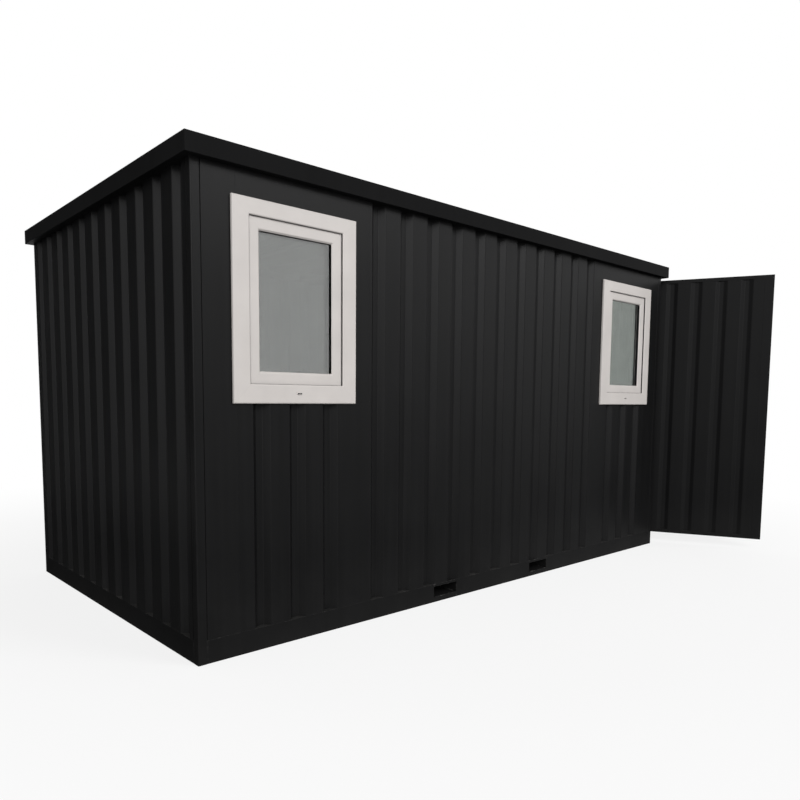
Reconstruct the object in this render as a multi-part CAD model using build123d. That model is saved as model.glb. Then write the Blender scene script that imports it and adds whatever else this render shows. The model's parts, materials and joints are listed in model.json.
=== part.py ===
from build123d import *
import os
from math import atan2, tan

# Flat-pack steel container cabin: a channel base with fork pockets, square corner posts,
# corrugated sheet walls, two plastic windows, a gutter-edged roof and one hinged steel door.
# Millimetres. The origin is on the ground under the middle of the cabin, +X points to the
# door end, -Y to the side with the windows and +Z up.

# Cabin
cabin_length = 4000
cabin_width = 2180
wall_top = 2128
cut_overrun = 20

# Base frame
rail_height = 105
rail_flange = 70
rail_steel = 3
pocket_spacing = 900
pocket_width = 190
pocket_height = 60
pocket_lift = 30
pocket_steel = 4
joist_count = 5
joist_pitch = 650
joist_flange = 50
joist_steel = 3
floor_thickness = 21

# Corner posts
post_size = 45
post_steel = 3
post_corner_radius = 6

# Corrugated wall sheets, the depth taken from the front of a crest to the back of a valley
sheet_steel = 2
sheet_edge_flat = 20
corrugation_depth = 38
valley_width = 90
valley_flank_width = 20
side_pitch = 195.5
end_pitch = 193

# Window bays in the front wall, measured from the cabin's nearer end
end_strip_width = 160
window_plate_width = 750
window_plate_tuck = 9
window_from_end = 521
valleys_under_window = 3

# Windows
window_head_drop = 113
window_width = 681
window_height = 885
window_proud = 16
trim_cover = 30
frame_lip = 12
frame_depth = 58
frame_face_side = 84
frame_face_top = 73
frame_face_bottom = 87
sash_cover = 16
sash_fit = 0.5
sash_depth = 54
sash_face = 57
glass_setback = 16
glass_cover = 13
glass_thickness = 24
trim_chamfer = 4
sash_chamfer = 7

# Doorway in the front half of the right end
doorway_width = 825
door_header_height = 65
jamb_width = 145
door_overlap = 35
door_head_gap = 10
door_rail_cover = 20
door_stand_off = 6
door_depth = 34
door_rim = 65
door_steel = 2
door_sheet_depth = 30
door_pitch = 177
door_valley_width = 82
door_flank_width = 18
door_open_angle = 155

# Door hinges
hinge_setback = 13
hinge_offset = 16
hinge_radius = 10
hinge_pin_radius = 6
hinge_fit = 0.2
hinge_barrel = 45
hinge_washer = 1
hinge_plate = 10
hinge_height_shares = (0.12, 0.5, 0.88)

# Roof
roof_overhang = 40
roof_edge_height = 82
roof_edge_return = 15
roof_steel = 2
gutter_wall = 52
beam_count = 5
beam_pitch = 780
beam_flange = 40
roof_drip = 12
roof_rib_pitch = 300
roof_rib_width = 70
roof_rib_flank = 15
roof_rib_height = 22

# Places worked out from the sizes above
half_length = cabin_length / 2
half_width = cabin_width / 2
side_span = cabin_length - 2 * post_size
end_span = cabin_width - 2 * post_size
wall_height = wall_top - rail_height
bay_outer_edge = half_length - post_size - end_strip_width
bay_inner_edge = bay_outer_edge - window_plate_width
window_place = half_length - window_from_end
window_bottom = wall_top - window_head_drop - window_height
window_middle = window_bottom + window_height / 2
window_plate_bottom = window_bottom + window_plate_tuck
door_middle = -half_width + post_size + jamb_width + doorway_width / 2
door_width = doorway_width + 2 * door_overlap
door_bottom = rail_height - door_rail_cover
door_height = wall_top - door_head_gap - door_bottom
door_face = half_length + door_stand_off + door_depth
door_edge = door_middle - door_width / 2
hinge_x = door_face - hinge_setback
hinge_y = door_edge - hinge_offset
right_sheet_start = door_middle + doorway_width / 2 + jamb_width
right_sheet_length = half_width - post_size - right_sheet_start

quarter_turns = {"front": 0, "right": 1, "back": 2, "left": 3}
side_distances = {"front": half_width, "right": half_length, "back": half_width, "left": half_length}


def on_side(side, piece):
    """Takes a piece drawn with its outer face on y = 0, facing -Y, to one side of the cabin."""
    return Rot(0, 0, 90 * quarter_turns[side]) * Pos(0, -side_distances[side], 0) * piece


def channel(length, height, flange, steel):
    """C channel centred along X, its back on y = 0, open towards +Y, standing on z = 0."""
    section = Polyline(
        (0, 0), (flange, 0), (flange, steel), (steel, steel),
        (steel, height - steel), (flange, height - steel), (flange, height), (0, height),
        close=True,
    )
    return Pos(-length / 2, 0, 0) * extrude(Plane.YZ * make_face(section), amount=length, dir=(1, 0, 0))


def folded_strip(width, height, depth, steel):
    """Upright flat strip with both edges folded inwards, centred along X, standing on z = 0."""
    upright = channel(height, width, depth, steel)
    return Pos(0, 0, height / 2) * Rot(0, 90, 0) * Pos(0, 0, -width / 2) * upright


def ring(outer, inner, front, back, lift=0):
    """Upright rectangular ring between two depths along Y, its opening raised by lift."""
    outline = Rectangle(*outer) - Pos(0, lift) * Rectangle(*inner)
    return Pos(0, back, 0) * extrude(Plane.XZ * outline, amount=back - front)


def valley_places(length, pitch, mouth):
    """Evenly spaced valleys along a sheet, the same about its middle."""
    count = int((length - mouth - 2 * sheet_edge_flat) / pitch) + 1
    return [(i - (count - 1) / 2) * pitch for i in range(count)]


def corrugated_sheet(length, height, places, mouth, flank, depth, steel):
    """Folded sheet centred along X, standing on z = 0: crests on y = 0, valleys sunk towards +Y."""
    sink = depth - steel
    lip = mouth / 2
    foot = lip - flank
    bend = steel * tan(atan2(sink, flank) / 2)
    outer = [(-length / 2, 0)]
    inner = [(-length / 2, steel)]
    for place in places:
        outer += [(place - lip, 0), (place - foot, sink), (place + foot, sink), (place + lip, 0)]
        inner += [
            (place - lip - bend, steel), (place - foot - bend, depth),
            (place + foot + bend, depth), (place + lip + bend, steel),
        ]
    outer.append((length / 2, 0))
    inner.append((length / 2, steel))
    section = Polyline(*outer, *reversed(inner), close=True)
    return extrude(make_face(section), amount=height, dir=(0, 0, 1))


def wall_sheet(length, height, places):
    """Wall sheet with the cabin's own corrugation."""
    return corrugated_sheet(
        length, height, places, valley_width, valley_flank_width, corrugation_depth, sheet_steel
    )


def base_rails():
    """Channel rails round the base, the long ones in lengths between the fork pockets."""
    reach = (pocket_spacing + pocket_width) / 2
    gap_between = pocket_spacing - pocket_width
    end_run = side_span / 2 - reach
    end_length = channel(end_run, rail_height, rail_flange, rail_steel)
    long_rail = [channel(gap_between, rail_height, rail_flange, rail_steel)]
    long_rail += [Pos(sign * (reach + end_run / 2), 0, 0) * end_length for sign in (-1, 1)]
    short_rail = channel(end_span, rail_height, rail_flange, rail_steel)
    notch_width = rail_flange - post_size
    notch_depth = rail_flange - post_size + cut_overrun
    for sign in (-1, 1):
        notch = Box(2 * notch_width, notch_depth, rail_height + 2 * cut_overrun)
        short_rail -= Pos(sign * end_span / 2, post_size + notch_depth / 2, rail_height / 2) * notch
    return {
        "base_rail_front": Compound([on_side("front", piece) for piece in long_rail]),
        "base_rail_back": Compound([on_side("back", piece) for piece in long_rail]),
        "base_rail_left": on_side("left", short_rail),
        "base_rail_right": on_side("right", short_rail),
    }


def pocket_bridges():
    """Rail angles over and under each fork pocket's mouth, on both long sides."""
    bridge = channel(pocket_width, rail_height, rail_flange, rail_steel)
    mouth = Box(pocket_width + 2 * cut_overrun, 2 * rail_flange + cut_overrun, pocket_height)
    bridge -= Pos(0, 0, pocket_lift + pocket_height / 2) * mouth
    angles = []
    for side in ("front", "back"):
        for sign in (-1, 1):
            placed = on_side(side, Pos(sign * pocket_spacing / 2, 0, 0) * bridge)
            angles += placed.solids()
    return Compound(angles)


def fork_pocket(place):
    """Rectangular tube for a fork arm, running from one long rail to the other."""
    tube = Rectangle(pocket_width + 2 * pocket_steel, pocket_height + 2 * pocket_steel)
    tube -= Rectangle(pocket_width, pocket_height)
    length = cabin_width - 2 * rail_steel
    solid = extrude(Plane.XZ * tube, amount=length / 2, both=True)
    return Pos(place, 0, pocket_lift + pocket_height / 2) * solid


def floor_joists():
    """Channel joists across the base, between the flanges of the long rails."""
    length = cabin_width - 2 * rail_flange
    lying = channel(length, rail_height, joist_flange, joist_steel)
    joist = Rot(0, 0, 90) * Pos(0, -joist_flange / 2, 0) * lying
    places = [(i - (joist_count - 1) / 2) * joist_pitch for i in range(joist_count)]
    return Compound([Pos(x, 0, 0) * joist for x in places])


def floor_deck():
    """Plywood floor on the rails and joists, inside the corner posts."""
    return Pos(0, 0, rail_height + floor_thickness / 2) * Box(side_span, end_span, floor_thickness)


def corner_post():
    """Square hollow post with rolled corners."""
    hollow_size = post_size - 2 * post_steel
    outline = RectangleRounded(post_size, post_size, post_corner_radius)
    outline -= RectangleRounded(hollow_size, hollow_size, post_corner_radius - post_steel)
    return extrude(outline, amount=wall_top)


def window_plate(window_offset):
    """Flat plate round a window, its lower edge folded in over the short sheet."""
    height = wall_top - window_plate_bottom
    section = Polyline(
        (0, 0), (corrugation_depth, 0), (corrugation_depth, sheet_steel),
        (sheet_steel, sheet_steel), (sheet_steel, height), (0, height),
        close=True,
    )
    plate = extrude(Plane.YZ * make_face(section), amount=window_plate_width / 2, both=True)
    hole_width = window_width - 2 * trim_cover
    hole_height = window_height - 2 * trim_cover
    hole = Box(hole_width, 2 * cut_overrun, hole_height)
    return plate - Pos(window_offset, 0, window_middle - window_plate_bottom) * hole


def window_sizes():
    """Outside of the sash as seen, and how far its middle lies above the window's middle."""
    width = window_width - 2 * frame_face_side
    height = window_height - frame_face_top - frame_face_bottom
    return width, height, (frame_face_bottom - frame_face_top) / 2


def window_frame():
    """Plastic outer frame: a proud trim with a lip in front of the sash, and a body in the wall."""
    width, height, lift = window_sizes()
    trim = (window_width, window_height)
    body = (window_width - 2 * trim_cover, window_height - 2 * trim_cover)
    bed = (width + 2 * sash_cover, height + 2 * sash_cover)
    lip_back = frame_lip - window_proud
    lip = ring(trim, (width, height), -window_proud, lip_back, lift)
    lip = chamfer(lip.faces().sort_by(Axis.Y)[0].edges(), length=trim_chamfer)
    frame = lip + ring(trim, bed, lip_back, 0, lift)
    return frame + ring(body, bed, 0, frame_depth, lift)


def window_sash():
    """Plastic sash behind the frame's lip, with a bed for the glass."""
    width, height, lift = window_sizes()
    front = frame_lip - window_proud
    outside = (width + 2 * sash_cover - 2 * sash_fit, height + 2 * sash_cover - 2 * sash_fit)
    sight = (width - 2 * sash_face, height - 2 * sash_face)
    bed = (sight[0] + 2 * glass_cover, sight[1] + 2 * glass_cover)
    face = ring(outside, sight, front, front + glass_setback)
    inner_edges = face.faces().sort_by(Axis.Y)[0].inner_wires()[0].edges()
    face = chamfer(inner_edges, length=sash_chamfer)
    return Pos(0, 0, lift) * (face + ring(outside, bed, front + glass_setback, front + sash_depth))


def window_glass():
    """Sealed glass unit in the sash."""
    width, height, lift = window_sizes()
    reach = 2 * glass_cover - 2 * sash_face - 2 * sash_fit
    front = frame_lip - window_proud + glass_setback
    pane = Box(width + reach, glass_thickness, height + reach)
    return Pos(0, front + glass_thickness / 2, lift) * pane


def front_bay(sign):
    """Pieces of one window bay: flat end strip, short sheet, plate and window."""
    bay_middle = (bay_outer_edge + bay_inner_edge) / 2
    window_offset = sign * (window_place - bay_middle)
    places = [
        window_offset + (i - (valleys_under_window - 1) / 2) * end_pitch
        for i in range(valleys_under_window)
    ]
    strip_place = sign * (half_length - post_size - end_strip_width / 2)
    strip = folded_strip(end_strip_width, wall_height, corrugation_depth, sheet_steel)
    sheet = wall_sheet(window_plate_width, window_plate_bottom - rail_height, places)
    at_window = Pos(sign * window_place, 0, window_middle)
    pieces = {
        "front_strip": Pos(strip_place, 0, rail_height) * strip,
        "front_short_sheet": Pos(sign * bay_middle, 0, rail_height) * sheet,
        "window_plate": Pos(sign * bay_middle, 0, window_plate_bottom) * window_plate(window_offset),
        "window_frame": at_window * window_frame(),
        "window_sash": at_window * window_sash(),
        "window_glass": at_window * window_glass(),
    }
    hand = "left" if sign < 0 else "right"
    return {f"{name}_{hand}": on_side("front", piece) for name, piece in pieces.items()}


def plain_walls():
    """Corrugated sheets of the four sides."""
    middle_length = 2 * bay_inner_edge
    right_middle = right_sheet_start + right_sheet_length / 2
    spans = {
        "front": (middle_length, side_pitch, 0),
        "back": (side_span, side_pitch, 0),
        "left": (end_span, end_pitch, 0),
        "right": (right_sheet_length, end_pitch, right_middle),
    }
    walls = {}
    for side, (length, pitch, middle) in spans.items():
        places = valley_places(length, pitch, valley_width)
        sheet = wall_sheet(length, wall_height, places)
        walls[f"{side}_wall"] = on_side(side, Pos(middle, 0, rail_height) * sheet)
    return walls


def door_surround():
    """Folded jambs, header and sill round the doorway."""
    jamb = folded_strip(jamb_width, wall_height, corrugation_depth, sheet_steel)
    reach = (doorway_width + jamb_width) / 2
    header = channel(doorway_width, door_header_height, corrugation_depth, sheet_steel)
    sill = channel(doorway_width, floor_thickness, post_size, sheet_steel)
    pieces = {
        "door_jamb_front": Pos(door_middle - reach, 0, rail_height) * jamb,
        "door_jamb_back": Pos(door_middle + reach, 0, rail_height) * jamb,
        "door_header": Pos(door_middle, 0, wall_top - door_header_height) * header,
        "door_sill": Pos(door_middle, 0, rail_height) * sill,
    }
    return {name: on_side("right", piece) for name, piece in pieces.items()}


def opened(piece):
    """Swings a piece of the closed door about the hinge line to the open place."""
    return Pos(hinge_x, hinge_y, 0) * Rot(0, 0, -door_open_angle) * Pos(-hinge_x, -hinge_y, 0) * piece


def door_leaf():
    """Leaf of the door: a folded rim open at the back, and a corrugated sheet inside it."""
    outside = (door_width, door_height)
    inside = (door_width - 2 * door_rim, door_height - 2 * door_rim)
    rim = ring(outside, inside, 0, door_depth)
    hollow_outside = (door_width - 2 * door_steel, door_height - 2 * door_steel)
    hollow_inside = (inside[0] + 2 * door_steel, inside[1] + 2 * door_steel)
    rim -= ring(hollow_outside, hollow_inside, door_steel, door_depth + cut_overrun)
    places = valley_places(inside[0], door_pitch, door_valley_width)
    sheet = corrugated_sheet(
        inside[0], inside[1], places, door_valley_width, door_flank_width, door_sheet_depth, door_steel
    )
    at_door = Pos(door_face, door_middle, door_bottom + door_height / 2) * Rot(0, 0, 90)
    return {
        "door_rim": opened(at_door * rim),
        "door_sheet": opened(at_door * Pos(0, 0, -inside[1] / 2) * sheet),
    }


def door_hinges():
    """Weld-on hinges: pins with brackets on the jamb, sleeves with tabs on the leaf."""
    bracket_length = hinge_x - half_length
    bracket = Box(bracket_length, hinge_plate, hinge_barrel, align=(Align.MAX, Align.CENTER, Align.MAX))
    barrel = Cylinder(hinge_radius, hinge_barrel, align=(Align.CENTER, Align.CENTER, Align.MAX))
    pin_height = hinge_barrel + hinge_washer
    pin = Cylinder(hinge_pin_radius, pin_height, align=(Align.CENTER, Align.CENTER, Align.MIN))
    fixed = bracket + barrel + pin
    tab = Box(hinge_plate, hinge_offset, hinge_barrel, align=(Align.CENTER, Align.MIN, Align.MIN))
    sleeve = Cylinder(hinge_radius, hinge_barrel, align=(Align.CENTER, Align.CENTER, Align.MIN)) + tab
    bore_radius = hinge_pin_radius + hinge_fit
    sleeve -= Cylinder(bore_radius, 2 * hinge_barrel + cut_overrun)
    heights = [door_bottom + share * door_height for share in hinge_height_shares]
    pins = Compound([Pos(hinge_x, hinge_y, z) * fixed for z in heights])
    sleeves = Compound([opened(Pos(hinge_x, hinge_y, z + hinge_washer) * sleeve) for z in heights])
    return {"door_hinge_pins": pins, "door_hinge_sleeves": sleeves}


def roof_edge(half_span):
    """Folded roof edge: fascia outside, soffit over the wall and a gutter wall inside, mitred."""
    section = Polyline(
        (-roof_overhang, 0), (post_size, 0), (post_size, gutter_wall),
        (post_size - roof_steel, gutter_wall), (post_size - roof_steel, roof_steel),
        (roof_steel - roof_overhang, roof_steel),
        (roof_steel - roof_overhang, roof_edge_height - roof_steel),
        (roof_edge_return - roof_overhang, roof_edge_height - roof_steel),
        (roof_edge_return - roof_overhang, roof_edge_height), (-roof_overhang, roof_edge_height),
        close=True,
    )
    outer = half_span + roof_overhang
    inner = half_span - post_size
    run = extrude(Plane.YZ * make_face(section), amount=outer, both=True)
    plan = Polyline(
        (-outer, -roof_overhang), (outer, -roof_overhang), (inner, post_size), (-inner, post_size),
        close=True,
    )
    mitre = extrude(make_face(plan), amount=roof_edge_height, dir=(0, 0, 1))
    return Pos(0, 0, wall_top) * (run & mitre)


def roof_beams():
    """Channel beams under the roof sheet, between the gutter walls of the long sides."""
    lying = channel(end_span, gutter_wall, beam_flange, roof_steel)
    beam = Rot(0, 0, 90) * Pos(0, -beam_flange / 2, 0) * lying
    places = [(i - (beam_count - 1) / 2) * beam_pitch for i in range(beam_count)]
    return Compound([Pos(x, 0, wall_top) * beam for x in places])


def roof_sheet():
    """Ribbed roof sheet on the beams, its edges dripping into the gutters."""
    length = side_span + 2 * roof_drip
    width = end_span + 2 * roof_drip
    ribs = valley_places(length, roof_rib_pitch, roof_rib_width)
    sheet = corrugated_sheet(
        length, width, ribs, roof_rib_width, roof_rib_flank, roof_rib_height, roof_steel
    )
    return Pos(0, width / 2, wall_top + gutter_wall) * Rot(90, 0, 0) * sheet


nodes = {}
nodes.update(base_rails())
nodes["pocket_bridges"] = pocket_bridges()
nodes["fork_pocket_left"] = fork_pocket(-pocket_spacing / 2)
nodes["fork_pocket_right"] = fork_pocket(pocket_spacing / 2)
nodes["floor_joists"] = floor_joists()
nodes["floor_deck"] = floor_deck()
post_x = half_length - post_size / 2
post_y = half_width - post_size / 2
for end, x in (("left", -post_x), ("right", post_x)):
    nodes[f"corner_post_front_{end}"] = Pos(x, -post_y, 0) * corner_post()
    nodes[f"corner_post_back_{end}"] = Pos(x, post_y, 0) * corner_post()
nodes.update(plain_walls())
nodes.update(front_bay(-1))
nodes.update(front_bay(1))
nodes.update(door_surround())
nodes.update(door_leaf())
nodes.update(door_hinges())
for side in ("front", "back"):
    nodes[f"roof_edge_{side}"] = on_side(side, roof_edge(half_length))
for side in ("left", "right"):
    nodes[f"roof_edge_{side}"] = on_side(side, roof_edge(half_width))
nodes["roof_beams"] = roof_beams()
nodes["roof_sheet"] = roof_sheet()

os.makedirs("parts", exist_ok=True)
for name, piece in nodes.items():
    export_step(piece, f"parts/{name}.step")
print(len(nodes), "nodes, hinge line at", hinge_x, hinge_y)
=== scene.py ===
import json
import math
from collections import namedtuple

import bmesh
import bpy
from mathutils import Matrix, Vector


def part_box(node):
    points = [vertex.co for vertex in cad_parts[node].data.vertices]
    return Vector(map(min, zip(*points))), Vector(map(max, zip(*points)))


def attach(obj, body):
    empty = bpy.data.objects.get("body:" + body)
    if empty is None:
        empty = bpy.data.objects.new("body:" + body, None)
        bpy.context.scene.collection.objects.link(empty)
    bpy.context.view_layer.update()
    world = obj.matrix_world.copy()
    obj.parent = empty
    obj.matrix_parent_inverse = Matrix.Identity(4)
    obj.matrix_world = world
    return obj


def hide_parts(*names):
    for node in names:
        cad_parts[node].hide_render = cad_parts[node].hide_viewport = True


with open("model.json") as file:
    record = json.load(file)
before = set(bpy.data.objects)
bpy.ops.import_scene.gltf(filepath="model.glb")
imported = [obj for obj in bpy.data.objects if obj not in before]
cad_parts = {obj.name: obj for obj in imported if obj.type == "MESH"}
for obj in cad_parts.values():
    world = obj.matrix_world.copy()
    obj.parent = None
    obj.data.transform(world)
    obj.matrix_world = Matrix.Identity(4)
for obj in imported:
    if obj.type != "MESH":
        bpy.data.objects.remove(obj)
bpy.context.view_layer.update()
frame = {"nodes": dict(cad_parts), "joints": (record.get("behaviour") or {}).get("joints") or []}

# Base frame. Cold-rolled steel channels are welded into a rectangle, with joists across it and
# two tubes through it for a lift truck's forks, and upright welds join it to the posts. The satin
# black paint is rubbed to the metal round the mouths of the tubes, and these light edges are also
# painted highlight.
frame_black = (0.0052, 0.0052, 0.0054)
rubbed_steel_and_highlight = (0.16, 0.155, 0.15)
road_dust = (0.070, 0.068, 0.065)
frame_roughness = 0.50
frame_splash = 0.16
rail_edge = 0.0009
sharp_angle = 0.5
weld_radius = 0.0042
weld_foot, weld_head = 0.003, 0.104
weld_sunk, weld_beside = 0.0032, 0.0025


def place(tree, kind, sockets=(), **settings):
    """Puts a node in a tree, with its settings, and links or sets the sockets that are named."""
    made = tree.nodes.new(kind)
    for name, value in settings.items():
        setattr(made, name, value)
    for name, value in dict(sockets).items():
        if isinstance(value, bpy.types.NodeSocket):
            tree.links.new(value, made.inputs[name])
        else:
            made.inputs[name].default_value = value
    return made


def worked(tree, operation, *terms):
    """Value that an operation makes of its terms."""
    return place(tree, "ShaderNodeMath", enumerate(terms), operation=operation).outputs[0]


def ranged(tree, value, start=0.0, end=1.0, low=0.0, high=1.0):
    """Value carried over from the range start to end into the range low to high, and held there."""
    sockets = {"Value": value, "From Min": start, "From Max": end, "To Min": low, "To Max": high}
    return place(tree, "ShaderNodeMapRange", sockets).outputs[0]


def noise(tree, where, scale, detail, **more):
    """Cloudy value that changes over the piece."""
    sockets = {"Vector": where, "Scale": scale, "Detail": detail, **more}
    return place(tree, "ShaderNodeTexNoise", sockets).outputs[0]


def stretched(tree, where, *scale):
    """Place on the piece, with each axis scaled."""
    return place(tree, "ShaderNodeMapping", {"Vector": where, "Scale": scale}).outputs[0]


def shaded(tree, colour, tone):
    """Colour made lighter or darker by a tone."""
    return place(tree, "ShaderNodeVectorMath", {0: colour, "Scale": tone}, operation="SCALE").outputs[0]


def blended(tree, share, first, second):
    """Colour between two others, each a link or three plain values."""
    ends = [end if isinstance(end, bpy.types.NodeSocket) else (*end, 1.0) for end in (first, second)]
    return place(tree, "ShaderNodeMix", {0: share, 6: ends[0], 7: ends[1]}, data_type="RGBA").outputs[2]


def raised(tree, height, strength, depth, **under):
    """Normal of a skin that is raised by a height."""
    sockets = {"Height": height, "Strength": strength, "Distance": depth, **under}
    return place(tree, "ShaderNodeBump", sockets).outputs[0]


def effect(name, takes, gives):
    """Starts a shader group that takes a place and named values, and gives named values."""
    tree = bpy.data.node_groups.new(name, "ShaderNodeTree")
    tree.interface.new_socket("Vector", in_out="INPUT", socket_type="NodeSocketVector")
    for title, start in takes.items():
        socket = tree.interface.new_socket(title, in_out="INPUT", socket_type="NodeSocketFloat")
        socket.default_value = start
    for title in gives:
        tree.interface.new_socket(title, in_out="OUTPUT", socket_type="NodeSocketFloat")
    return tree, tree.nodes.new("NodeGroupInput").outputs, tree.nodes.new("NodeGroupOutput").inputs


def sprayed_film():
    """Sprayed paint: cloudy tone, rain streaks down the face, orange peel and slack in the sheet."""
    tree, takes, gives = effect("sprayed_film", {"Streaks": 1.0}, ("Tone", "Gloss", "Peel", "Slack"))
    where = takes["Vector"]
    cloud = noise(tree, where, scale=2.3, detail=4.0)
    streak = noise(tree, stretched(tree, where, 34.0, 34.0, 0.7), scale=1.0, detail=3.0)
    both = worked(tree, "ADD", cloud, worked(tree, "MULTIPLY", streak, takes["Streaks"]))
    slack = noise(tree, stretched(tree, where, 5.0, 5.0, 1.6), scale=1.0, detail=1.0)
    tree.links.new(ranged(tree, both, 0.6, 1.4, low=0.78, high=1.22), gives["Tone"])
    tree.links.new(ranged(tree, both, 0.6, 1.4, low=-0.045, high=0.045), gives["Gloss"])
    tree.links.new(noise(tree, where, scale=420.0, detail=1.0), gives["Peel"])
    tree.links.new(slack, gives["Slack"])
    return tree


def settled_dust():
    """Dust lying on level faces, and splashed on the lowest part of the walls."""
    tree, takes, gives = effect("settled_dust", {"Splash height": 0.4, "Lying": 0.5}, ("Dust",))
    facing = place(tree, "ShaderNodeNewGeometry").outputs["Normal"]
    upward = place(tree, "ShaderNodeSeparateXYZ", {0: facing}).outputs["Z"]
    height = place(tree, "ShaderNodeSeparateXYZ", {0: takes["Vector"]}).outputs["Z"]
    lying = worked(tree, "MULTIPLY", ranged(tree, upward, 0.6, 0.98), takes["Lying"])
    splashed = ranged(tree, height, takes["Splash height"], 0.0, high=0.09)
    grain = noise(tree, takes["Vector"], scale=3.5, detail=9.0, Roughness=0.66)
    patchy = ranged(tree, grain, 0.3, 0.75, low=0.15)
    dust = worked(tree, "MULTIPLY", worked(tree, "MAXIMUM", lying, splashed), patchy)
    tree.links.new(dust, gives["Dust"])
    return tree


def worn_and_highlit_edge():
    """Mask of the edges and folds of a piece, broken up: paint rubbed off, and painted highlight."""
    tree, takes, gives = effect("worn_and_highlit_edge", {"Amount": 0.5}, ("Wear and highlight",))
    flat = place(tree, "ShaderNodeNewGeometry").outputs["Normal"]
    rounded = place(tree, "ShaderNodeBevel", {"Radius": 0.004}, samples=4).outputs[0]
    match = place(tree, "ShaderNodeVectorMath", {0: rounded, 1: flat}, operation="DOT_PRODUCT")
    edge = ranged(tree, match.outputs["Value"], 0.995, 0.90)
    broken = ranged(tree, noise(tree, takes["Vector"], scale=55.0, detail=5.0), 0.5, 0.66)
    worn_and_highlit = worked(tree, "MULTIPLY", edge, broken)
    tree.links.new(worked(tree, "MULTIPLY", worn_and_highlit, takes["Amount"]), gives["Wear and highlight"])
    return tree


def use_effect(tree, group, sockets):
    """Outputs of a shader group that is set in a finish."""
    return place(tree, "ShaderNodeGroup", sockets, node_tree=group).outputs


def new_finish(name):
    """Starts a finish: the material, its tree, its shader's inputs and the place on the piece."""
    material = bpy.data.materials.new(name)
    material.use_nodes = True
    tree = material.node_tree
    shader = tree.nodes["Principled BSDF"].inputs
    return material, tree, shader, place(tree, "ShaderNodeTexCoord").outputs["Object"]


film_group, dust_group, wear_and_highlight_group = sprayed_film(), settled_dust(), worn_and_highlit_edge()


def sprayed_paint(name, colour, roughness, ior=1.22, streaks=1.0, splash=0.4, lying=0.5,
                  slack=0.0, rub_and_highlight=0.0):
    """Black sprayed steel: film, dust, and light edges of rubbed metal and painted highlight."""
    material, tree, shader, where = new_finish(name)
    shader["IOR"].default_value = ior
    film = use_effect(tree, film_group, {"Vector": where, "Streaks": streaks})
    settled = use_effect(tree, dust_group, {"Vector": where, "Splash height": splash, "Lying": lying})
    dust = settled["Dust"]
    shown = shaded(tree, colour, film["Tone"])
    # Lighter edges: paint rubbed to the metal, and painted highlight along folds and edges.
    if rub_and_highlight:
        worn_and_highlit = use_effect(tree, wear_and_highlight_group, {"Vector": where, "Amount": rub_and_highlight})
        shown = blended(tree, worn_and_highlit["Wear and highlight"], shown, rubbed_steel_and_highlight)
    tree.links.new(blended(tree, dust, shown, road_dust), shader["Base Color"])
    dust_dulls = 0.4
    uneven = worked(tree, "ADD", film["Gloss"], roughness)
    tree.links.new(worked(tree, "MULTIPLY_ADD", dust, dust_dulls, uneven), shader["Roughness"])
    skin = raised(tree, film["Peel"], strength=0.25, depth=0.0002)
    if slack:
        skin = raised(tree, film["Slack"], strength=1.0, depth=slack, Normal=skin)
    tree.links.new(skin, shader["Normal"])
    return material


def set_in(bm, name, material, slot, *nodes, body="cabin"):
    """Makes a piece of a finished bmesh, which rides on a body and may stand for CAD nodes."""
    mesh = bpy.data.meshes.new(name)
    bm.to_mesh(mesh)
    bm.free()
    mesh.shade_smooth()
    piece = bpy.data.objects.new(name, mesh)
    bpy.context.scene.collection.objects.link(piece)
    mesh.materials.append(material)
    level = piece.modifiers.new("level faces", "WEIGHTED_NORMAL")
    level.weight = 80
    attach(piece, body)
    if nodes:
        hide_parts(*nodes)


def merged(node):
    """Copy of a CAD node's shape, its loose triangles merged into flat faces."""
    bm = bmesh.new()
    bm.from_mesh(frame["nodes"][node].data)
    bmesh.ops.remove_doubles(bm, verts=bm.verts[:], dist=1e-5)
    bmesh.ops.dissolve_limit(bm, angle_limit=0.01, verts=bm.verts[:], edges=bm.edges[:])
    return bm


def ease(bm, edges, width, steps):
    """Rounds the given edges over by a width."""
    bmesh.ops.bevel(bm, geom=list(edges), offset=width, offset_type="OFFSET", affect="EDGES",
                    segments=steps, profile=0.5, clamp_overlap=True, material=-1)


def eased(bm, width, steps=2):
    """Eases the sharp edges of a shape, as a saw or a press leaves them."""
    sharp = [edge for edge in bm.edges if edge.is_manifold and edge.calc_face_angle() > sharp_angle]
    ease(bm, sharp, width, steps)
    return bm


def eased_copy(node, name, material, slot, width, steps=2):
    """Sets in a copy of a CAD node that has its sharp edges eased."""
    set_in(eased(merged(node), width, steps), name, material, slot, node)


def coat(node, material):
    """Gives a CAD node that stays as it is its finish."""
    surface = frame["nodes"][node].data
    surface.materials.clear()
    surface.materials.append(material)


def peg(bm, spot, radius, length, sides=10, taper=1.0, lie=Matrix()):
    """Peg about a spot, upright unless it is laid over, its head's radius a share of its foot's."""
    bmesh.ops.create_cone(bm, cap_ends=True, segments=sides, radius1=radius, radius2=radius * taper,
                          depth=length, matrix=Matrix.Translation(spot) @ lie)


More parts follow.
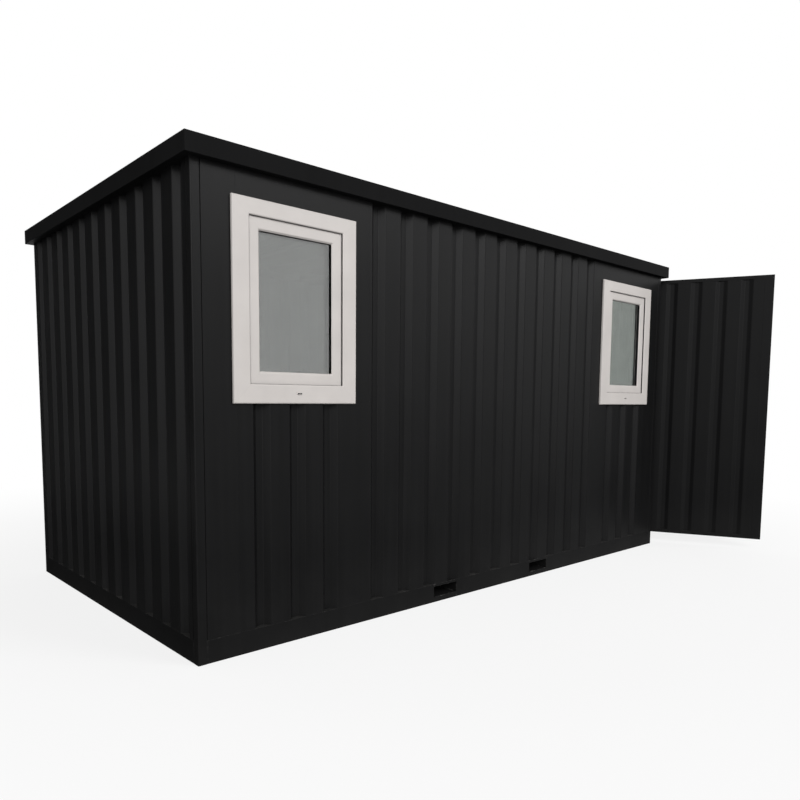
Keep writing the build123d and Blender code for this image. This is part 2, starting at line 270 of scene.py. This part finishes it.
frame_paint = sprayed_paint("frame_paint", frame_black, frame_roughness, streaks=0.5,
                            splash=frame_splash, rub_and_highlight=0.25)
pocket_paint = sprayed_paint("pocket_paint", frame_black, frame_roughness, streaks=0.3,
                             splash=frame_splash, lying=0.08, rub_and_highlight=0.9)
for side in ("front", "back", "left", "right"):
    rail = f"base_rail_{side}"
    eased_copy(rail, f"{rail}_painted", frame_paint, "black_frame_paint", rail_edge)
eased_copy("pocket_bridges", "pocket_mouths", pocket_paint, "black_frame_paint", rail_edge)
for node in ("fork_pocket_left", "fork_pocket_right"):
    coat(node, pocket_paint)
coat("floor_joists", frame_paint)
post_inner, post_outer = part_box("corner_post_back_right")
weld_places = (
    (post_inner.x + weld_beside, post_outer.y - weld_sunk),
    (post_outer.x - weld_sunk, post_inner.y + weld_beside),
)
welds = bmesh.new()
for x_side in (-1, 1):
    for y_side in (-1, 1):
        for x, y in weld_places:
            spot = (x_side * x, y_side * y, (weld_foot + weld_head) / 2)
            peg(welds, spot, weld_radius, weld_head - weld_foot)
set_in(welds, "rail_welds", frame_paint, "black_frame_paint")

# Floor. Four boards of birch plywood lie side by side on the joists, with a narrow joint
# between them, and are held by countersunk screws along the joists.
ply_face = (0.42, 0.29, 0.17)
ply_grain = (0.26, 0.165, 0.09)
floor_dust = (0.30, 0.27, 0.23)
zinc_grey = (0.40, 0.40, 0.39)
board_count = 4
board_joint, board_edge = 0.003, 0.0012
joist_count, joist_pitch = 5, 0.65
joist_screws, screw_pitch = 7, 0.31
screw_radius, screw_taper = 0.0045, 0.8
screw_thick, screw_proud = 0.0006, 0.0002


def birch_plywood():
    """Sanded birch veneer: long grain, fine pores and the dust that lies on it."""
    material, tree, shader, where = new_finish("birch_plywood")
    shader["Specular IOR Level"].default_value = 0.25
    along = stretched(tree, where, 1.2, 14.0, 14.0)
    grain = noise(tree, along, scale=2.0, detail=6.0, Distortion=0.6)
    pore = noise(tree, stretched(tree, where, 20.0, 420.0, 420.0), scale=1.0, detail=2.0)
    pore_share = 0.35
    veneer = worked(tree, "MULTIPLY_ADD", pore, pore_share, grain)
    colour = blended(tree, ranged(tree, veneer, 0.45, 0.9), ply_face, ply_grain)
    settled = use_effect(tree, dust_group, {"Vector": where})
    tree.links.new(blended(tree, settled["Dust"], colour, floor_dust), shader["Base Color"])
    tree.links.new(ranged(tree, veneer, low=0.5, high=0.75), shader["Roughness"])
    tree.links.new(raised(tree, veneer, strength=0.3, depth=0.0004), shader["Normal"])
    return material


def zinc(name, colour, roughness):
    """Zinc plating, mottled and a little dull."""
    material, tree, shader, where = new_finish(name)
    shader["Metallic"].default_value = 0.9
    mottle = noise(tree, where, scale=240.0, detail=3.0)
    tone = ranged(tree, mottle, low=0.75, high=1.2)
    tree.links.new(shaded(tree, colour, tone), shader["Base Color"])
    uneven = ranged(tree, mottle, low=roughness - 0.1, high=roughness + 0.1)
    tree.links.new(uneven, shader["Roughness"])
    return material


def even_places(count, pitch, middle=0.0):
    """Evenly spaced places about a middle."""
    return [middle + (i - (count - 1) / 2) * pitch for i in range(count)]


def block(bm, middle, size, edge_width, steps):
    """Plain block with eased edges."""
    made = bmesh.ops.create_cube(bm, matrix=Matrix.LocRotScale(Vector(middle), None, Vector(size)))
    edges = dict.fromkeys(edge for vert in made["verts"] for edge in vert.link_edges)
    ease(bm, edges, edge_width, steps)


plated = zinc("zinc_plate", zinc_grey, roughness=0.42)
deck_low, deck_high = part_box("floor_deck")
deck_size = deck_high - deck_low
board_run = deck_size.x / board_count
boards = bmesh.new()
for x in even_places(board_count, board_run):
    middle = (x, 0, (deck_low.z + deck_high.z) / 2)
    block(boards, middle, (board_run - board_joint, deck_size.y, deck_size.z), board_edge, steps=2)
set_in(boards, "floor_boards", birch_plywood(), "plywood", "floor_deck")
deck_screws = bmesh.new()
for x in even_places(joist_count, joist_pitch):
    for y in even_places(joist_screws, screw_pitch):
        spot = (x, y, deck_high.z + screw_proud)
        peg(deck_screws, spot, screw_radius, screw_thick, taper=screw_taper)
set_in(deck_screws, "deck_screws", plated, "hinge_steel")

# Corner posts. Square steel tube with rolled corners, standing on the ground at the four corners
# and welded to the rails. They carry the roof and have the same satin black paint as the walls.
wall_black = (0.0052, 0.0052, 0.0054)
wall_roughness = 0.38
post_paint = sprayed_paint("post_paint", wall_black, wall_roughness, rub_and_highlight=0.12)
for side in ("front", "back"):
    for hand in ("left", "right"):
        coat(f"corner_post_{side}_{hand}", post_paint)

# Wall sheets. Two-millimetre steel sheet pressed into trapezoidal corrugations, valleys inwards,
# with rounded folds. Each sheet stands on the base rail, reaches up under the roof edge and is
# welded to the posts from inside.
sheet_steel = 0.002
fold_radius, fold_steps = 0.0042, 4
valley_width, valley_flank, valley_depth = 0.090, 0.0275, 0.032
wall_valley = (valley_width, valley_flank, valley_depth, fold_radius)
long_pitch, short_pitch = 0.1955, 0.193
wall_slack = 0.0004
seam_radius = 0.0025
seam_sunk, seam_beside = 0.0042, 0.0002
quarter_turn = math.radians(90)
sides = {
    "front": (0, post_outer.y),
    "right": (1, post_outer.x),
    "back": (2, post_outer.y),
    "left": (3, post_outer.x),
}


def pressed_sheet(left, right, foot, head, valleys, mouth, flank, depth, fold):
    """Corrugated sheet with crests on y = 0 and valleys towards +Y, its folds rounded."""
    bm = bmesh.new()
    sink = depth - sheet_steel
    bends = [(left, 0.0)]
    for valley in valleys:
        bends += [(valley - mouth / 2, 0.0), (valley - mouth / 2 + flank, sink),
                  (valley + mouth / 2 - flank, sink), (valley + mouth / 2, 0.0)]
    bends.append((right, 0.0))
    line = [bm.verts.new((x, y, foot)) for x, y in bends]
    edges = [bm.edges.new(pair) for pair in zip(line, line[1:])]
    lifted = bmesh.ops.extrude_edge_only(bm, edges=edges)["geom"]
    top = [part for part in lifted if isinstance(part, bmesh.types.BMVert)]
    bmesh.ops.translate(bm, verts=top, vec=(0, 0, head - foot))
    ease(bm, [edge for edge in bm.edges if len(edge.link_faces) == 2], fold, fold_steps)
    bmesh.ops.recalc_face_normals(bm, faces=bm.faces[:])
    if sum(face.normal.y * face.calc_area() for face in bm.faces) > 0:
        bmesh.ops.reverse_faces(bm, faces=bm.faces[:])
    bmesh.ops.solidify(bm, geom=bm.faces[:], thickness=sheet_steel)
    return bm


def to_side(bm, side):
    """Takes a piece drawn with its face on y = 0 to one side of the cabin."""
    turns, distance = sides[side]
    turn = Matrix.Rotation(turns * quarter_turn, 4, "Z")
    bmesh.ops.transform(bm, matrix=turn @ Matrix.Translation((0, -distance, 0)), verts=bm.verts[:])
    return bm


# The light lines this paint gives the sheets' folds are painted highlight.
sheet_paint = sprayed_paint("sheet_paint", wall_black, wall_roughness, slack=wall_slack, rub_and_highlight=0.05)
foot_z, head_z = (corner.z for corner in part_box("front_wall"))
for side, valley_count, pitch in (
    ("front", 11, long_pitch),
    ("back", 20, long_pitch),
    ("left", 11, short_pitch),
    ("right", 5, short_pitch),
):
    axis = 0 if side in ("front", "back") else 1
    left, right = (corner[axis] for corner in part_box(f"{side}_wall"))
    valleys = even_places(valley_count, pitch, (left + right) / 2)
    sheet = to_side(pressed_sheet(left, right, foot_z, head_z, valleys, *wall_valley), side)
    set_in(sheet, f"{side}_wall_sheet", sheet_paint, "black_sheet_paint", f"{side}_wall")
end_seam = (post_outer.x - seam_sunk, post_inner.y - seam_beside)
back_seam = (post_inner.x - seam_beside, post_outer.y - seam_sunk)
seam_welds = bmesh.new()
for (x, y), x_side, y_side in (
    (end_seam, -1, -1), (end_seam, -1, 1), (end_seam, 1, -1), (end_seam, 1, 1),
    (back_seam, -1, 1), (back_seam, 1, 1),
):
    spot = (x_side * x, y_side * y, (foot_z + head_z) / 2)
    peg(seam_welds, spot, seam_radius, head_z - foot_z)
set_in(seam_welds, "seam_welds", sheet_paint, "black_sheet_paint")

# Window bays. At each end of the front wall a flat folded strip stands beside the post, and a
# flat plate carries the window above a short corrugated sheet. All are the walls' painted steel,
# and the strips are bolted to the posts from inside.
folded_edge = 0.0009
short_valleys = 3
bolt_radius, bolt_head, bolt_edge = 0.0085, 0.006, 0.0007
bolt_rows, bolt_lowest, bolt_pitch = 6, 0.28, 0.34
bolt_setback = 0.022
for hand in ("left", "right"):
    low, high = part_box(f"front_short_sheet_{hand}")
    under_window = sum(corner.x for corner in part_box(f"window_frame_{hand}")) / 2
    valleys = even_places(short_valleys, short_pitch, under_window)
    short = to_side(pressed_sheet(low.x, high.x, foot_z, high.z, valleys, *wall_valley), "front")
    set_in(short, f"short_sheet_{hand}", sheet_paint, "black_sheet_paint", f"front_short_sheet_{hand}")
    for node, name in (("front_strip", "end_strip"), ("window_plate", "bay_plate")):
        eased_copy(f"{node}_{hand}", f"{name}_{hand}", sheet_paint, "black_sheet_paint", folded_edge)
bolt_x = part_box("front_strip_right")[1].x - sheet_steel - bolt_head / 2
strip_bolts = bmesh.new()
for x_side in (-1, 1):
    for row in range(bolt_rows):
        spot = (x_side * bolt_x, bolt_setback - post_outer.y, bolt_lowest + row * bolt_pitch)
        peg(strip_bolts, spot, bolt_radius, bolt_head, sides=6, lie=Matrix.Rotation(quarter_turn, 4, "Y"))
ease(strip_bolts, strip_bolts.edges, bolt_edge, steps=1)
set_in(strip_bolts, "strip_bolts", plated, "hinge_steel")

# Windows. Tilt-and-turn windows of white plastic profile: the frame's trim stands proud of the
# plate, and the sash shuts behind its lip on a rubber seal. The profiles are welded at mitres, with
# a hooded weep cap outside and a lever handle inside. The black seals round the sash and the glass
# are made deep and wide, so that they also line the reveals as painted shade, and black blocks on
# the cap's face are painted shade in its weep slots.
plastic_white = (0.53, 0.50, 0.48)
mitre_shade = (0.24, 0.23, 0.22)
seal_and_shade_black = (0.012, 0.012, 0.012)
seal_bloom = (0.03, 0.03, 0.03)
profile_edge, profile_steps = 0.0016, 3
sash_hidden, glass_hidden = 0.0155, 0.0125
seal_and_shade_wall, seal_and_shade_edge = 0.0012, 0.0004
sash_seal_and_shade_depth, sash_lip, sash_lip_depth = 0.0078, 0.0040, 0.0020
glass_seal_and_shade_depth, glass_lip, glass_lip_depth = 0.0090, 0.0060, 0.0025
cap_size, cap_edge = Vector((0.030, 0.005, 0.012)), 0.0018
cap_above_foot, cap_sunk = 0.048, 0.001
weep_shade_size, weep_shade_edge = (0.0105, 0.0010, 0.0054), 0.0003
weep_shade_beside, weep_shade_drop = 0.0065, 0.0012
handle_beside = 0.242
# Plate, neck and lever of the handle: stand-off from the sash, drop, size and eased edge of each.
handle_parts = (
    (0.0045, 0.0, (0.030, 0.009, 0.072), 0.0025),
    (0.0200, 0.0, (0.018, 0.026, 0.018), 0.0025),
    (0.0380, 0.045, (0.021, 0.014, 0.116), 0.0045),
)


def mitre_groove(tree, where, low, high):
    """Thin diagonal lines where a window's mitred profiles are welded, the same on both windows."""
    middle = (low + high) / 2
    taller = ((high.z - low.z) - (high.x - low.x)) / 2
    spot = place(tree, "ShaderNodeSeparateXYZ", {0: where}).outputs
    from_side = worked(tree, "SUBTRACT", worked(tree, "ABSOLUTE", spot["X"]), middle.x)
    from_level = worked(tree, "SUBTRACT", spot["Z"], middle.z)
    beside, above = worked(tree, "ABSOLUTE", from_side), worked(tree, "ABSOLUTE", from_level)
    apart = worked(tree, "SUBTRACT", above, beside)
    off_line = worked(tree, "ABSOLUTE", worked(tree, "SUBTRACT", apart, taller))
    return ranged(tree, off_line, 0.0004, 0.0014, low=1.0, high=0.0)


def white_profile(name, low, high):
    """Extruded white plastic: a mild haze of dirt, a fine skin and the mitre welds."""
    material, tree, shader, where = new_finish(name)
    shader["Specular IOR Level"].default_value = 0.4
    shader["IOR"].default_value = 1.46
    haze = noise(tree, where, scale=7.0, detail=5.0)
    shade = shaded(tree, plastic_white, ranged(tree, haze, 0.3, 0.7, low=0.95, high=1.03))
    groove_share, groove_depth = 0.14, -3.0
    groove = mitre_groove(tree, where, low, high)
    faint = worked(tree, "MULTIPLY", groove, groove_share)
    tree.links.new(blended(tree, faint, shade, mitre_shade), shader["Base Color"])
    tree.links.new(ranged(tree, haze, low=0.3, high=0.42), shader["Roughness"])
    skin = noise(tree, where, scale=300.0, detail=1.0)
    height = worked(tree, "MULTIPLY_ADD", groove, groove_depth, skin)
    tree.links.new(raised(tree, height, strength=0.25, depth=0.0002), shader["Normal"])
    return material


def rubber_seal_and_shade():
    """Black rubber, matt with a grey bloom; it is also the painted shade in window reveals and weep slots.
    """
    material, tree, shader, where = new_finish("rubber_seal_and_shade")
    shader["Specular IOR Level"].default_value = 0.2
    bloom = noise(tree, where, scale=90.0, detail=4.0)
    tree.links.new(blended(tree, bloom, seal_and_shade_black, seal_bloom), shader["Base Color"])
    tree.links.new(ranged(tree, bloom, low=0.55, high=0.8), shader["Roughness"])
    return material


Corner = namedtuple("Corner", "x y z")


def drawn_box(node):
    """Low and high corner of a CAD node, rounded to the tenth of a millimetre."""
    return [Corner(*(round(value, 4) for value in corner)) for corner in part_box(node)]


def square_ring(bm, middle, width, height, band, front, back):
    """Rectangular wall between two depths, its outside width by height."""
    corners = [bm.verts.new((middle.x + a * width / 2, front, middle.z + b * height / 2))
               for a, b in ((-1, -1), (1, -1), (1, 1), (-1, 1))]
    face = bm.faces.new(corners)
    # The new face has no normal yet, so this inset moves nothing and leaves the band without width.
    inset = bmesh.ops.inset_region(bm, faces=[face], thickness=band, use_even_offset=True,
                                   use_boundary=True)
    bmesh.ops.delete(bm, geom=[face], context="FACES")
    pulled = bmesh.ops.extrude_face_region(bm, geom=inset["faces"])["geom"]
    moved = [part for part in pulled if isinstance(part, bmesh.types.BMVert)]
    bmesh.ops.translate(bm, verts=moved, vec=(0, back - front, 0))
    bmesh.ops.recalc_face_normals(bm, faces=bm.faces[:])


frame_plastic = white_profile("frame_plastic", *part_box("window_frame_right"))
sash_plastic = white_profile("sash_plastic", *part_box("window_sash_right"))
rubber_and_shade = rubber_seal_and_shade()
for hand, x_side in (("left", -1), ("right", 1)):
    for part, plastic in (("frame", frame_plastic), ("sash", sash_plastic)):
        eased_copy(f"window_{part}_{hand}", f"{part}_profile_{hand}", plastic, "white_plastic",
                   profile_edge, profile_steps)
    trim_low = drawn_box(f"window_frame_{hand}")[0]
    sash_low, sash_high = drawn_box(f"window_sash_{hand}")
    glass_low, glass_high = drawn_box(f"window_glass_{hand}")
    middle = Corner(*((a + b) / 2 for a, b in zip(sash_low, sash_high)))
    # Rubber seals, deep and wide enough to line the reveals of the lip and the glass as painted shade.
    seals_and_shade = bmesh.new()
    for low, high, hidden, depth, lip, lip_depth in (
        (sash_low, sash_high, sash_hidden, sash_seal_and_shade_depth, sash_lip, sash_lip_depth),
        (glass_low, glass_high, glass_hidden, glass_seal_and_shade_depth, glass_lip, glass_lip_depth),
    ):
        width, height = high.x - low.x - 2 * hidden, high.z - low.z - 2 * hidden
        square_ring(seals_and_shade, middle, width, height, seal_and_shade_wall, low.y - depth, low.y)
        inner_width, inner_height = width - 2 * seal_and_shade_wall, height - 2 * seal_and_shade_wall
        square_ring(seals_and_shade, middle, inner_width, inner_height, lip, low.y - lip_depth, low.y)
    set_in(eased(seals_and_shade, seal_and_shade_edge), f"window_seals_and_shade_{hand}", rubber_and_shade, "white_plastic")
    fittings = bmesh.new()
    weep_shade_blocks = bmesh.new()
    cap = Vector((middle.x, trim_low.y - cap_size.y / 2 + cap_sunk, trim_low.z + cap_above_foot))
    block(fittings, cap, cap_size, cap_edge, profile_steps)
    # Black blocks on the cap's face: painted shade where its weep slots are.
    for beside in (-weep_shade_beside, weep_shade_beside):
        weep_shade_spot = cap + Vector((beside, -cap_size.y / 2, -weep_shade_drop))
        block(weep_shade_blocks, weep_shade_spot, weep_shade_size, weep_shade_edge, profile_steps)
    for stand_off, drop, size, edge_width in handle_parts:
        grip = (middle.x - x_side * handle_beside, sash_high.y + stand_off, middle.z - drop)
        block(fittings, grip, size, edge_width, profile_steps)
    set_in(fittings, f"window_fittings_{hand}", frame_plastic, "white_plastic")
    set_in(weep_shade_blocks, f"weep_slot_shades_{hand}", rubber_and_shade, "white_plastic")

# Glass. A sealed unit of two panes with a grey spacer between them, set on blocks in the sash.
# The outer pane has a faint reflecting coat against the sun.
clean_glass, filmed_glass = (0.60, 0.63, 0.61), (0.66, 0.68, 0.66)
spacer_grey = (0.42, 0.43, 0.43)
pane, pane_edge = 0.004, 0.0004
spacer_band, spacer_play = 0.023, 0.002


def float_glass():
    """Clear float glass with a slight green body and a film of dust."""
    material, tree, shader, where = new_finish("float_glass")
    shader["Transmission Weight"].default_value = 1.0
    shader["IOR"].default_value = 2.1
    film = noise(tree, where, scale=5.0, detail=6.0)
    tree.links.new(blended(tree, film, clean_glass, filmed_glass), shader["Base Color"])
    tree.links.new(ranged(tree, film, low=0.0, high=0.03), shader["Roughness"])
    return material


glass = float_glass()
spacer = zinc("spacer_bar", spacer_grey, roughness=0.5)
for hand in ("left", "right"):
    low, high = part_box(f"window_glass_{hand}")
    middle, size = (low + high) / 2, high - low
    panes = bmesh.new()
    for front in (low.y, high.y - pane):
        spot = (middle.x, front + pane / 2, middle.z)
        block(panes, spot, (size.x, pane, size.z), pane_edge, steps=1)
    set_in(panes, f"glass_panes_{hand}", glass, "glass", f"window_glass_{hand}")
    bar = bmesh.new()
    square_ring(bar, middle, size.x - spacer_play, size.z - spacer_play, spacer_band,
                low.y + pane, high.y - pane)
    set_in(bar, f"glass_spacer_{hand}", spacer, "glass")

# Door end. Folded steel jambs, a header and a floor sill stand round the doorway, welded to the
# post and the rail. Three weld-on hinge pins are on the front jamb.
hinge_grey = (0.10, 0.10, 0.10)
sill_edge = 0.0007
for node in ("door_jamb_front", "door_jamb_back", "door_header"):
    eased_copy(node, f"{node}_folded", sheet_paint, "black_sheet_paint", folded_edge)
eased_copy("door_sill", "door_sill_folded", sheet_paint, "black_sheet_paint", sill_edge)
hinge_plating = zinc("hinge_plating", hinge_grey, roughness=0.45)
coat("door_hinge_pins", hinge_plating)

# Door leaf. A folded steel rim, slim at head and foot, with a corrugated sheet welded into it, swung
# wide open on the three hinges. It has the walls' paint and no lock on its outer face.
slimmer, rim_search = 0.038, 0.01
leaf_lap, rim_width, leaf_stands_off = 0.035, 0.065, 0.040
leaf_valleys, leaf_pitch = 4, 0.177
leaf_valley_width, leaf_flank, leaf_valley_depth = 0.082, 0.026, 0.012
door_paint = sprayed_paint("door_paint", wall_black, roughness=0.46, ior=1.18, slack=wall_slack)
sheet_foot, sheet_head = (corner.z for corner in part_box("door_sheet"))
rim = merged("door_rim")
for inner_edge, step in ((sheet_foot, -slimmer), (sheet_head, slimmer)):
    inner = [vert for vert in rim.verts if abs(vert.co.z - inner_edge) < rim_search]
    bmesh.ops.translate(rim, verts=inner, vec=(0, 0, step))
eased(rim, folded_edge)
set_in(rim, "door_rim_folded", door_paint, "black_sheet_paint", "door_rim", body="door")
doorway_front, doorway_back = (corner.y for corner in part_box("door_header"))
sheet_half = (doorway_back - doorway_front) / 2 + leaf_lap - rim_width
leaf_places = even_places(leaf_valleys, leaf_pitch)
leaf_sheet = pressed_sheet(-sheet_half, sheet_half, sheet_foot - slimmer, sheet_head + slimmer,
                           leaf_places, leaf_valley_width, leaf_flank, leaf_valley_depth, fold_radius)
hinge = frame["joints"][0]
hinge_line = Vector(hinge["pos_m"])
open_turn = Matrix.Rotation(math.radians(hinge["range_deg"][0]), 4, "Z")
leaf_face = Vector((post_outer.x + leaf_stands_off, (doorway_front + doorway_back) / 2, 0))
shut = Matrix.Translation(leaf_face) @ Matrix.Rotation(quarter_turn, 4, "Z")
swing = Matrix.Translation(hinge_line) @ open_turn @ Matrix.Translation(-hinge_line)
bmesh.ops.transform(leaf_sheet, matrix=swing @ shut, verts=leaf_sheet.verts[:])
set_in(leaf_sheet, "door_sheet_pressed", door_paint, "black_sheet_paint", "door_sheet", body="door")
coat("door_hinge_sleeves", hinge_plating)

# Roof. Four mitred edges of folded sheet make the fascia, the soffit and the gutter, and a ribbed
# sheet lies on channel beams inside them, held by screws with washers. The roof's paint is duller.
roof_black = (0.0075, 0.0075, 0.0077)
rib_count, rib_pitch = 13, 0.300
rib_width, rib_flank, rib_height, rib_fold = 0.070, 0.015, 0.022, 0.003
beam_pitch, outer_screws = 0.78, 1.565
beam_screws, beam_screw_pitch = 6, 0.36
washer_radius, washer_steel = 0.009, 0.0014
head_radius, head_tall, head_taper = 0.0052, 0.0045, 0.92
roof_paint = sprayed_paint("roof_paint", roof_black, roughness=0.55, ior=1.09, streaks=0.6, lying=0.4,
                           slack=0.0003)
for side in ("front", "back", "left", "right"):
    edge = f"roof_edge_{side}"
    eased_copy(edge, f"{edge}_folded", roof_paint, "black_roof_paint", folded_edge)
roof_low, roof_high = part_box("roof_sheet")
ribs = even_places(rib_count, rib_pitch)
ribbed = pressed_sheet(roof_low.x, roof_high.x, roof_low.y, roof_high.y, ribs,
                       rib_width, rib_flank, rib_height, rib_fold)
lay = Matrix.Translation((0, 0, roof_low.z)) @ Matrix.Rotation(quarter_turn, 4, "X")
bmesh.ops.transform(ribbed, matrix=lay, verts=ribbed.verts[:])
set_in(ribbed, "ribbed_roof_sheet", roof_paint, "black_roof_paint", "roof_sheet")
coat("roof_beams", roof_paint)
pan, rib_top = roof_low.z + sheet_steel, roof_high.z
screw_lines = (
    (-outer_screws, pan), (-beam_pitch, pan), (0.0, rib_top), (beam_pitch, pan), (outer_screws, pan),
)
roof_screws = bmesh.new()
for x, seat in screw_lines:
    for y in even_places(beam_screws, beam_screw_pitch):
        peg(roof_screws, (x, y, seat + washer_steel / 2), washer_radius, washer_steel, sides=12)
        head_middle = seat + washer_steel + head_tall / 2
        peg(roof_screws, (x, y, head_middle), head_radius, head_tall, sides=6, taper=head_taper)
set_in(roof_screws, "roof_screws", plated, "hinge_steel")

# Studio. A pale floor that is white to the camera and keeps the cabin's shadow, an even white
# surround, and two soft lamps, front left and front right. A black cloth beside the left wall and
# a grey one on the ground before the front keep the reflections in those walls dark.
white = (1.0, 1.0, 1.0)
pale_grey = (0.75, 0.75, 0.75)
floor_reach = 120.0
shadow_near, shadow_far, shadow_white = 2.5, 6.0, 0.75
surround_light = 0.36
black_tone, grey_tone = 0.02, 0.36
cloth_lift, cloth_gap = 0.0005, 0.001
black_left, black_front, black_back = -4.5, -1.35, 4.65
hung_left, hung_right, hung_head = -14.0, -2.2, 7.0
grey_left, grey_right, grey_run = -6.0, 36.0, 40.0
lamps = (
    ("key_lamp", 2.1, (0.540, 0.720, -0.438), 34),
    ("side_lamp", 0.9, (-0.477, 0.734, -0.485), 24),
)


def seen_by_camera(tree):
    """Mask of rays from the camera, straight, mirrored or through the glass."""
    path = place(tree, "ShaderNodeLightPath").outputs
    mirrored = worked(tree, "MAXIMUM", path["Is Camera Ray"], path["Is Glossy Ray"])
    return worked(tree, "MAXIMUM", mirrored, path["Is Transmission Ray"])


def studio_sheet(name, material, *spreads):
    """Flat sheets of the studio in one object, each a square spread out to its place."""
    bm = bmesh.new()
    for spread in spreads:
        bmesh.ops.create_grid(bm, x_segments=1, y_segments=1, size=1.0, matrix=spread)
    mesh = bpy.data.meshes.new(name)
    bm.to_mesh(mesh)
    bm.free()
    mesh.materials.append(material)
    sheet = bpy.data.objects.new(name, mesh)
    bpy.context.scene.collection.objects.link(sheet)
    return sheet


def laid_out(left, right, front, back):
    """Spread of a cloth on the ground between four sides."""
    middle = Vector(((left + right) / 2, (front + back) / 2, cloth_lift))
    return Matrix.LocRotScale(middle, None, Vector(((right - left) / 2, (back - front) / 2, 1.0)))


def cloth(name, tone, *spreads):
    """Cloth that shows only in the paint's reflections, and keeps them dark."""
    material, _, shader, _ = new_finish(name)
    shader["Base Color"].default_value = (tone, tone, tone, 1.0)
    shader["Roughness"].default_value = 0.95
    shader["Specular IOR Level"].default_value = 0.0
    sheet = studio_sheet(name, material, *spreads)
    for rays in ("camera", "diffuse", "transmission", "shadow"):
        setattr(sheet, f"visible_{rays}", False)


floor_finish, tree, shader, where = new_finish("studio_floor")
shader["Roughness"].default_value = 0.9
shader["Specular IOR Level"].default_value = 0.0
seen = seen_by_camera(tree)
tree.links.new(blended(tree, seen, pale_grey, white), shader["Base Color"])
reach = place(tree, "ShaderNodeVectorMath", {0: where}, operation="LENGTH").outputs["Value"]
far = ranged(tree, reach, shadow_near, shadow_far, low=shadow_white)
glow = place(tree, "ShaderNodeEmission", {"Color": (*white, 1.0), "Strength": 1.0})
lit = tree.nodes["Principled BSDF"].outputs[0]
share = worked(tree, "MULTIPLY", far, seen)
both = place(tree, "ShaderNodeMixShader", {0: share, 1: lit, 2: glow.outputs[0]})
tree.links.new(both.outputs[0], tree.nodes["Material Output"].inputs["Surface"])
studio_sheet("studio_floor", floor_finish, Matrix.Diagonal((floor_reach, floor_reach, 1.0, 1.0)))

hung_half = Matrix.Diagonal(((hung_right - hung_left) / 2, hung_head / 2, 1.0, 1.0))
hung_middle = Matrix.Translation(((hung_left + hung_right) / 2, black_back, hung_head / 2))
hung = hung_middle @ Matrix.Rotation(quarter_turn, 4, "X") @ hung_half
black_right = -post_outer.x - cloth_gap
grey_back = -post_outer.y - cloth_gap
cloth("black_cloth", black_tone, laid_out(black_left, black_right, black_front, black_back), hung)
cloth("grey_cloth", grey_tone, laid_out(grey_left, grey_right, grey_back - grey_run, grey_back))

world = bpy.data.worlds.new("studio")
world.use_nodes = True
bpy.context.scene.world = world
surround = world.node_tree.nodes["Background"].inputs
surround["Color"].default_value = (*white, 1.0)
brightness = ranged(world.node_tree, seen_by_camera(world.node_tree), low=surround_light)
world.node_tree.links.new(brightness, surround["Strength"])

for name, energy, towards, breadth in lamps:
    light = bpy.data.lights.new(name, "SUN")
    light.energy = energy
    light.angle = math.radians(breadth)
    lamp = bpy.data.objects.new(name, light)
    lamp.rotation_euler = Vector(towards).to_track_quat("-Z", "Y").to_euler()
    bpy.context.scene.collection.objects.link(lamp)

# Camera. It stands where the photograph was taken from, a little above the window sills. Its aim,
# lens and shift are those that fit the cabin's edges in the photograph.
camera_place = (-3.3183, -3.7480, 1.1465)
heading, pitch, roll = (math.radians(angle) for angle in (41.9036, 5.1358, -0.3869))
ahead = Vector((math.sin(heading) * math.cos(pitch), math.cos(heading) * math.cos(pitch), -math.sin(pitch)))
level = Vector((math.cos(heading), -math.sin(heading), 0))
down = ahead.cross(level)
across = math.cos(roll) * level + math.sin(roll) * down
below = -math.sin(roll) * level + math.cos(roll) * down
view = bpy.data.cameras.new("camera")
view.sensor_width = 36.0
view.lens = 30.818
view.shift_x, view.shift_y = 0.0196, 0.0779
view.clip_end = 400.0
camera = bpy.data.objects.new("camera", view)
aim = Matrix((across, -below, -ahead)).transposed().to_4x4()
camera.matrix_world = Matrix.Translation(camera_place) @ aim
bpy.context.scene.collection.objects.link(camera)
bpy.context.scene.camera = camera
bpy.context.scene.view_settings.view_transform = "Standard"
